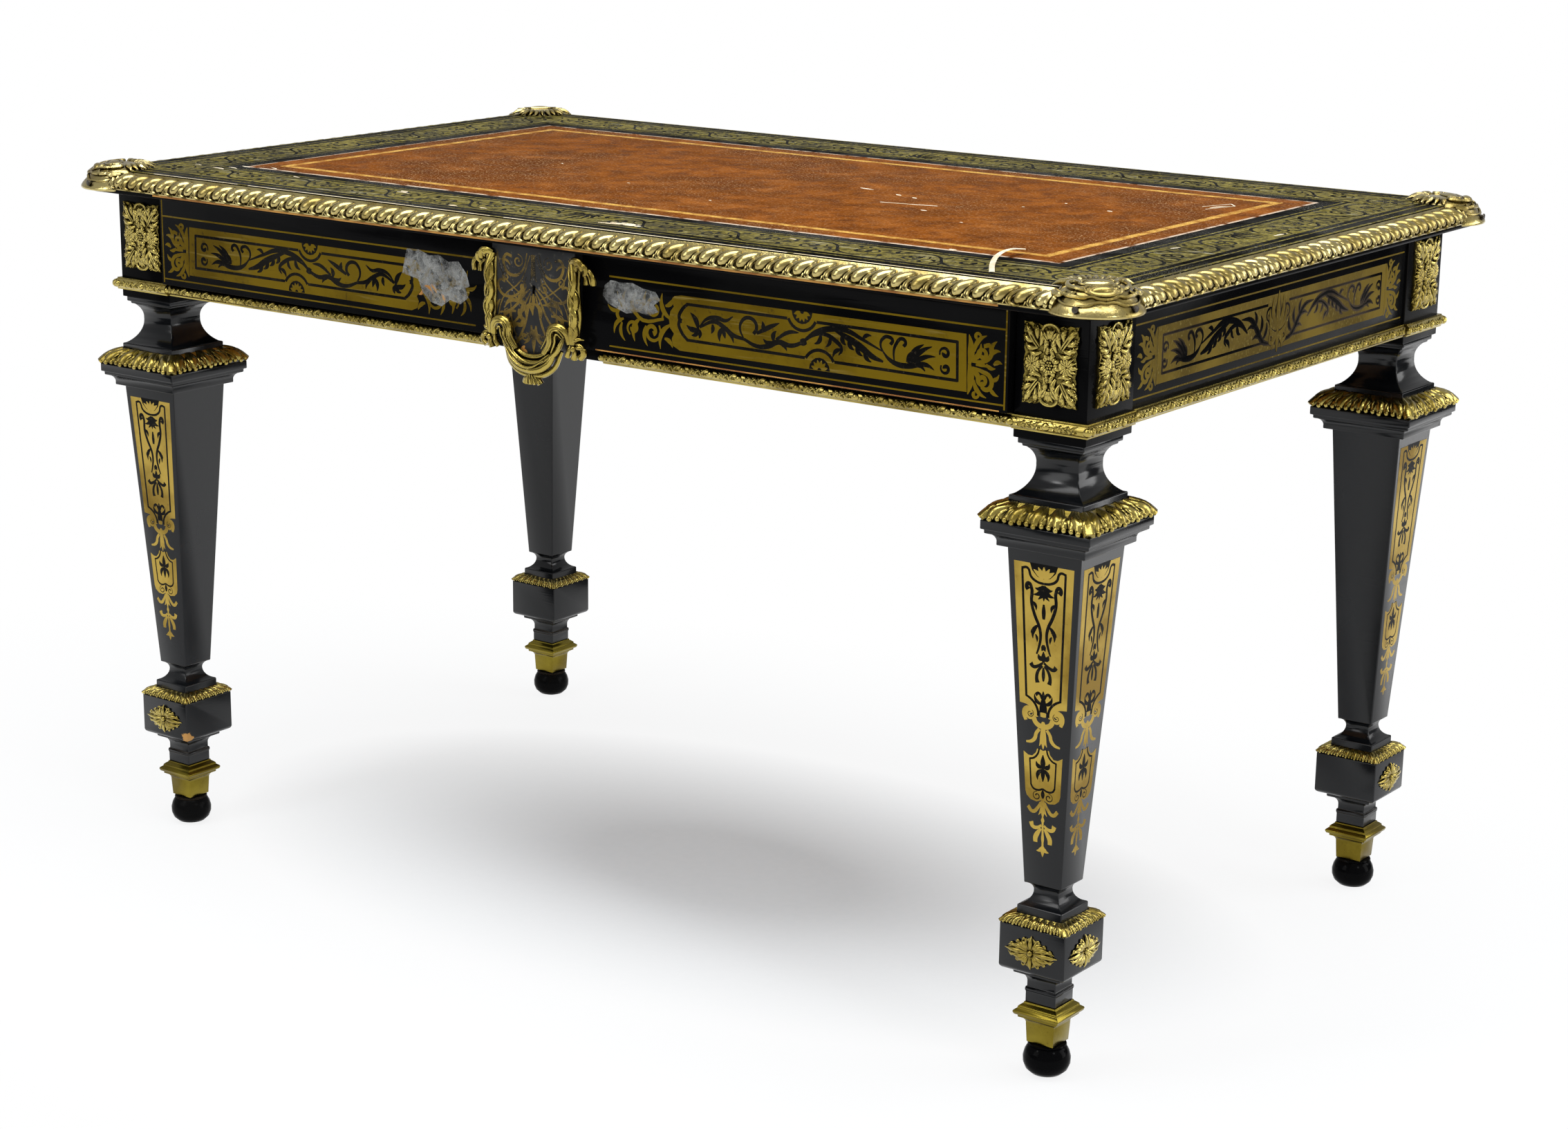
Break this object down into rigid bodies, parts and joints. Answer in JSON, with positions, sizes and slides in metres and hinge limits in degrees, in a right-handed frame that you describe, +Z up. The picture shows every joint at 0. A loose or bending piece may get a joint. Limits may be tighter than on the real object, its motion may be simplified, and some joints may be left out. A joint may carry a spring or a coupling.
{
  "type": "writing table",
  "caption": "Rectangular leather-topped writing table with a brass-inlaid black frieze, a long drawer, a gadrooned gilt edge and square tapered legs on ball feet.",
  "frame": {"origin": "on the floor under the middle of the top", "axes": "+X along the long side, to the sitter's right; +Z up; the drawer faces -Y"},
  "size_m": [1.345, 0.811, 0.7788],
  "materials": {
    "ebonised_wood": "black-stained, satin polish",
    "boulle_veneer": "black veneer with scrolling brass inlay, worn polish",
    "carcass_wood": "planed oak, unpolished inside",
    "leather": "russet hide, scuffed, with a gilt tooled border",
    "brass_marquetry": "cut sheet brass, tarnished",
    "gilt_bronze": "gilt casting, chased, burnished on the high parts",
    "polished_brass": "polished",
    "steel": "filed, dulled"
  },
  "bodies": {
    "carcass": {"back_apron": "ebonised_wood", "back_drapery": "gilt_bronze", "back_inlays": "brass_marquetry", "back_lambrequin": "ebonised_wood", "ball_foot_back_left": "ebonised_wood", "ball_foot_back_right": "ebonised_wood", "ball_foot_front_left": "ebonised_wood", "ball_foot_front_right": "ebonised_wood", "clasp_screws": "steel", "corner_clasp_back_left": "gilt_bronze", "corner_clasp_back_right": "gilt_bronze", "corner_clasp_front_left": "gilt_bronze", "corner_clasp_front_right": "gilt_bronze", "corner_post_back_left": "ebonised_wood", "corner_post_back_right": "ebonised_wood", "corner_post_front_left": "ebonised_wood", "corner_post_front_right": "ebonised_wood", "drawer_kickers": "carcass_wood", "drawer_runners": "carcass_wood", "drawer_stops": "carcass_wood", "foot_block_bands": "gilt_bronze", "frieze_moulding_back": "gilt_bronze", "frieze_moulding_front": "gilt_bronze", "frieze_moulding_sides": "gilt_bronze", "front_lower_rail": "ebonised_wood", "front_upper_rail": "carcass_wood", "gadroon_edge_back": "gilt_bronze", "gadroon_edge_front": "gilt_bronze", "gadroon_edge_left": "gilt_bronze", "gadroon_edge_right": "gilt_bronze", "leaf_collars": "gilt_bronze", "leather_writing_surface": "leather", "leg_back_left": "ebonised_wood", "leg_back_right": "ebonised_wood", "leg_front_left": "ebonised_wood", "leg_front_right": "ebonised_wood", "leg_inlays": "brass_marquetry", "lozenge_mounts": "gilt_bronze", "marquetry_border": "boulle_veneer", "post_mouldings": "gilt_bronze", "post_plaques": "gilt_bronze", "sabot_back_left": "polished_brass", "sabot_back_right": "polished_brass", "sabot_front_left": "polished_brass", "sabot_front_right": "polished_brass", "side_apron_left": "ebonised_wood", "side_apron_right": "ebonised_wood", "side_inlays": "brass_marquetry", "top_board": "carcass_wood"},
    "drawer": {"drawer_front": "ebonised_wood", "drawer_side_left": "carcass_wood", "drawer_side_right": "carcass_wood", "drawer_back": "carcass_wood", "drawer_bottom": "carcass_wood", "drawer_inlays": "brass_marquetry", "lambrequin": "ebonised_wood", "drapery_mount": "gilt_bronze", "lock_case": "steel"},
    "lock_bolt": {"lock_bolt": "steel"}
  },
  "joints": [
    {"name": "drawer_slide", "type": "slide", "parent": "carcass", "child": "drawer", "axis": [0, -1, 0], "range_m": [-0.01, 0.38]},
    {"name": "lock_bolt_slide", "type": "slide", "parent": "drawer", "child": "lock_bolt", "axis": [0, 0, 1], "range_m": [0, 0.008]}
  ]
}
